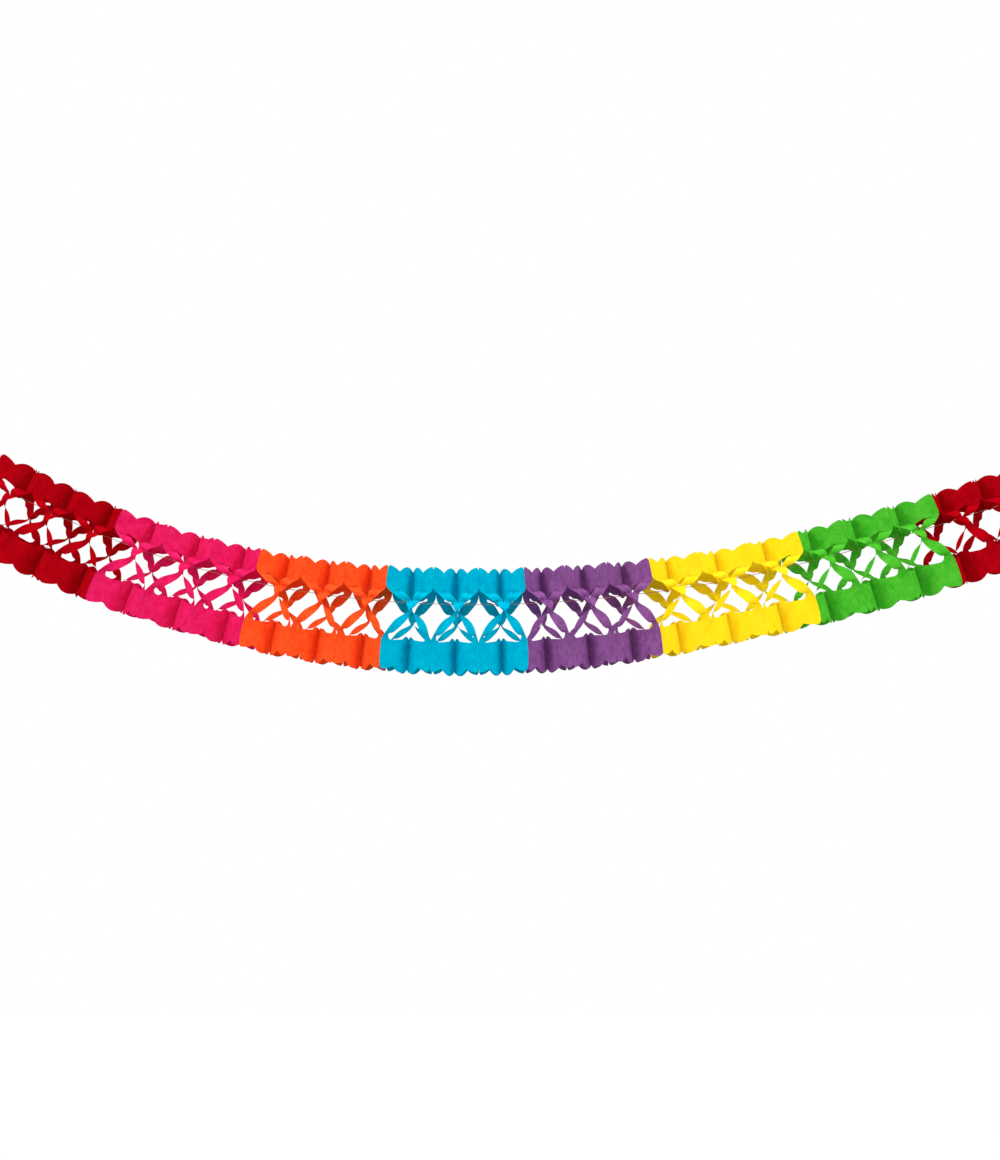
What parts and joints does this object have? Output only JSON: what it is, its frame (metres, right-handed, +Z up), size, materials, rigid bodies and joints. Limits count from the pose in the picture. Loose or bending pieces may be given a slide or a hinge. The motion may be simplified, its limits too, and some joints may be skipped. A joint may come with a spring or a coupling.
{
  "type": "paper garland",
  "caption": "Hanging garland of die-cut tissue paper sheets in bright colours, glued into an open lattice with scalloped edges and strung on a thread.",
  "frame": {"origin": "middle of the thread's left loop, where a hook holds it", "axes": "+X along the garland to its right end, -Y towards the viewer, +Z up"},
  "size_m": [1.7371, 0.1346, 0.3288],
  "materials": {
    "red_tissue": "matt tissue",
    "pink_tissue": "matt tissue",
    "orange_tissue": "matt tissue",
    "blue_tissue": "matt tissue",
    "purple_tissue": "matt tissue",
    "yellow_tissue": "matt tissue",
    "green_tissue": "matt tissue",
    "thread": "twisted cotton"
  },
  "bodies": {
    "root": {"left_red_sheet_1": "red_tissue", "left_red_sheet_2": "red_tissue", "left_red_sheet_3": "red_tissue", "left_red_sheet_4": "red_tissue", "left_red_sheet_5": "red_tissue", "left_red_sheet_6": "red_tissue", "pink_sheet_1": "pink_tissue", "pink_sheet_2": "pink_tissue", "pink_sheet_3": "pink_tissue", "pink_sheet_4": "pink_tissue", "pink_sheet_5": "pink_tissue", "pink_sheet_6": "pink_tissue", "orange_sheet_1": "orange_tissue", "orange_sheet_2": "orange_tissue", "orange_sheet_3": "orange_tissue", "orange_sheet_4": "orange_tissue", "orange_sheet_5": "orange_tissue", "orange_sheet_6": "orange_tissue", "blue_sheet_1": "blue_tissue", "blue_sheet_2": "blue_tissue", "blue_sheet_3": "blue_tissue", "blue_sheet_4": "blue_tissue", "blue_sheet_5": "blue_tissue", "blue_sheet_6": "blue_tissue", "purple_sheet_1": "purple_tissue", "purple_sheet_2": "purple_tissue", "purple_sheet_3": "purple_tissue", "purple_sheet_4": "purple_tissue", "purple_sheet_5": "purple_tissue", "purple_sheet_6": "purple_tissue", "yellow_sheet_1": "yellow_tissue", "yellow_sheet_2": "yellow_tissue", "yellow_sheet_3": "yellow_tissue", "yellow_sheet_4": "yellow_tissue", "yellow_sheet_5": "yellow_tissue", "yellow_sheet_6": "yellow_tissue", "green_sheet_1": "green_tissue", "green_sheet_2": "green_tissue", "green_sheet_3": "green_tissue", "green_sheet_4": "green_tissue", "green_sheet_5": "green_tissue", "green_sheet_6": "green_tissue", "right_red_sheet_1": "red_tissue", "right_red_sheet_2": "red_tissue", "right_red_sheet_3": "red_tissue", "right_red_sheet_4": "red_tissue", "right_red_sheet_5": "red_tissue", "right_red_sheet_6": "red_tissue", "hanging_thread": "thread"}
  },
  "joints": []
}
